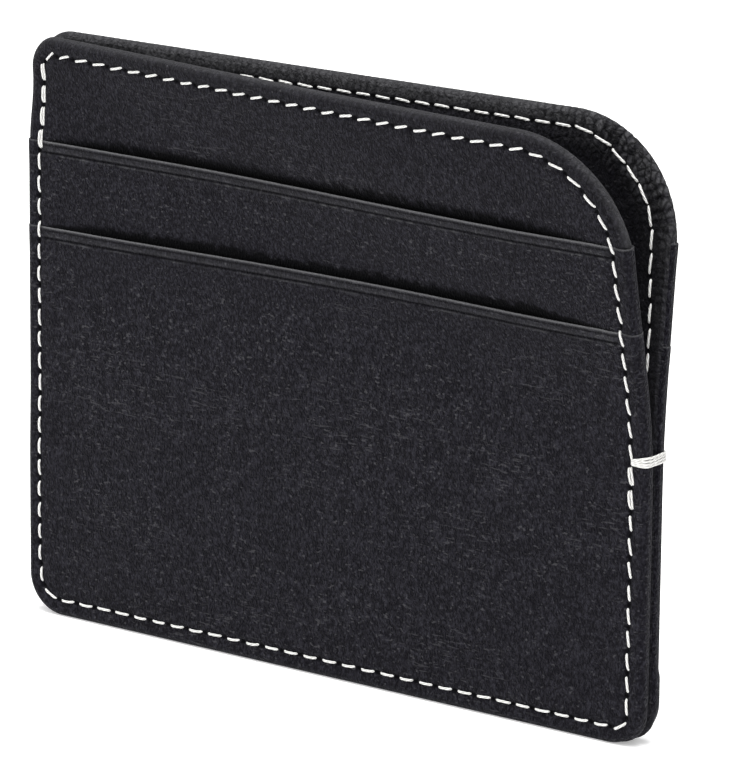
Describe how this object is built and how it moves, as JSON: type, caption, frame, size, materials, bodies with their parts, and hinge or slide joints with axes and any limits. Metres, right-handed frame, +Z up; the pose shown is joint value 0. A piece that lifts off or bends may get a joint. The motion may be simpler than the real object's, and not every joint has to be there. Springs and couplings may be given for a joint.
{
  "type": "card holder",
  "caption": "Slim two-leaf leather card holder with card pockets on both faces, contrast edge stitching, and a free corner mouth above a bar tack.",
  "frame": {"origin": "middle of the object's box, at the bottom edge it stands on", "axes": "+X along the long bottom edge towards the open corner, +Y from the front leaf towards the rear leaf, +Z up"},
  "size_m": [0.1004, 0.013, 0.081],
  "materials": {
    "grained_leather": "near-black leather with a fine pebble grain, satin",
    "pocket_leather": "near-black leather with a fine pebble grain and a creased edge line, satin",
    "lining_cloth": "black woven lining, matte",
    "backing_board": "bonded fibre board, hidden, matte",
    "ivory_thread": "waxed ivory sewing thread, soft sheen"
  },
  "bodies": {
    "sewn_body": {"front_panel": "grained_leather", "front_board": "backing_board", "front_lining": "lining_cloth", "front_upper_slot_lining": "lining_cloth", "front_upper_pocket": "pocket_leather", "front_lower_pocket": "pocket_leather", "seam_needle_thread": "ivory_thread", "rear_panel": "grained_leather", "rear_board": "backing_board", "rear_lining": "lining_cloth", "rear_upper_slot_lining": "lining_cloth", "rear_upper_pocket": "pocket_leather", "rear_lower_pocket": "pocket_leather", "seam_bobbin_thread": "ivory_thread", "bar_tack": "ivory_thread"},
    "front_lip": {"front_lip_panel": "grained_leather", "front_lip_board": "backing_board", "front_lip_lining": "lining_cloth", "front_lip_upper_slot_lining": "lining_cloth", "front_lip_upper_pocket": "pocket_leather", "front_lip_lower_pocket": "pocket_leather", "front_mouth_needle_thread": "ivory_thread", "front_mouth_bobbin_thread": "ivory_thread"},
    "rear_lip": {"rear_lip_panel": "grained_leather", "rear_lip_board": "backing_board", "rear_lip_lining": "lining_cloth", "rear_lip_upper_slot_lining": "lining_cloth", "rear_lip_upper_pocket": "pocket_leather", "rear_lip_lower_pocket": "pocket_leather", "rear_mouth_needle_thread": "ivory_thread", "rear_mouth_bobbin_thread": "ivory_thread"}
  },
  "joints": [
    {"name": "front_lip_flex", "type": "hinge", "parent": "sewn_body", "child": "front_lip", "pos_m": [-0.05017, 0.0008, 0.0763], "axis": [0.9418, 0, -0.3362], "range_deg": [-12.5, 15], "stiffness_Nm_per_rad": 0.03},
    {"name": "rear_lip_flex", "type": "hinge", "parent": "sewn_body", "child": "rear_lip", "pos_m": [-0.05017, 0.00295, 0.0763], "axis": [-0.9418, 0, 0.3362], "range_deg": [-6, 20], "stiffness_Nm_per_rad": 0.03}
  ]
}
